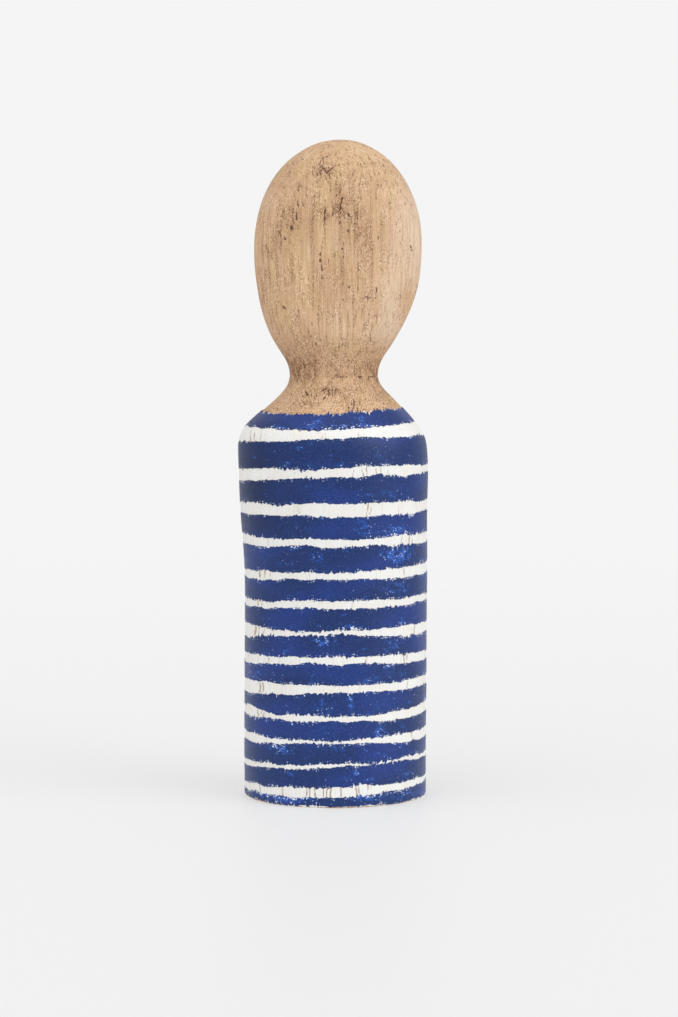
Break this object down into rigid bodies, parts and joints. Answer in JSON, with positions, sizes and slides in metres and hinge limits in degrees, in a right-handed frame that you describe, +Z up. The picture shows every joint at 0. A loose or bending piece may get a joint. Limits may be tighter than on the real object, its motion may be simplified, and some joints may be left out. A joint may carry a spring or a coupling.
{
  "type": "wooden peg figure",
  "caption": "Tall carved wooden peg figure: bare egg-shaped head on a narrow neck, sloping shoulders, and a round body painted white under uneven dark blue bands.",
  "frame": {"origin": "middle of the flat foot, on the surface that the figure stands on", "axes": "+Z up the figure, front of the face towards -Y, +X to the right of a viewer who looks at the front"},
  "size_m": [0.0872, 0.081, 0.3],
  "materials": {
    "bare_wood": "unvarnished hand-carved softwood, dry and matt, with dark pores and grime",
    "dowel_wood": "plain pale hardwood, unfinished",
    "white_paint": "chalky off-white paint, matt, cracked along the grain",
    "blue_paint": "dark blue paint, brushed on unevenly, satin"
  },
  "bodies": {
    "root": {"head": "bare_wood", "body": "bare_wood", "neck_dowel": "dowel_wood", "white_ground_coat": "white_paint", "blue_band_01": "blue_paint", "blue_band_02": "blue_paint", "blue_band_03": "blue_paint", "blue_band_04": "blue_paint", "blue_band_05": "blue_paint", "blue_band_06": "blue_paint", "blue_band_07": "blue_paint", "blue_band_08": "blue_paint", "blue_band_09": "blue_paint", "blue_band_10": "blue_paint", "blue_band_11": "blue_paint", "blue_band_12": "blue_paint", "blue_band_13": "blue_paint", "blue_band_14": "blue_paint"}
  },
  "joints": []
}
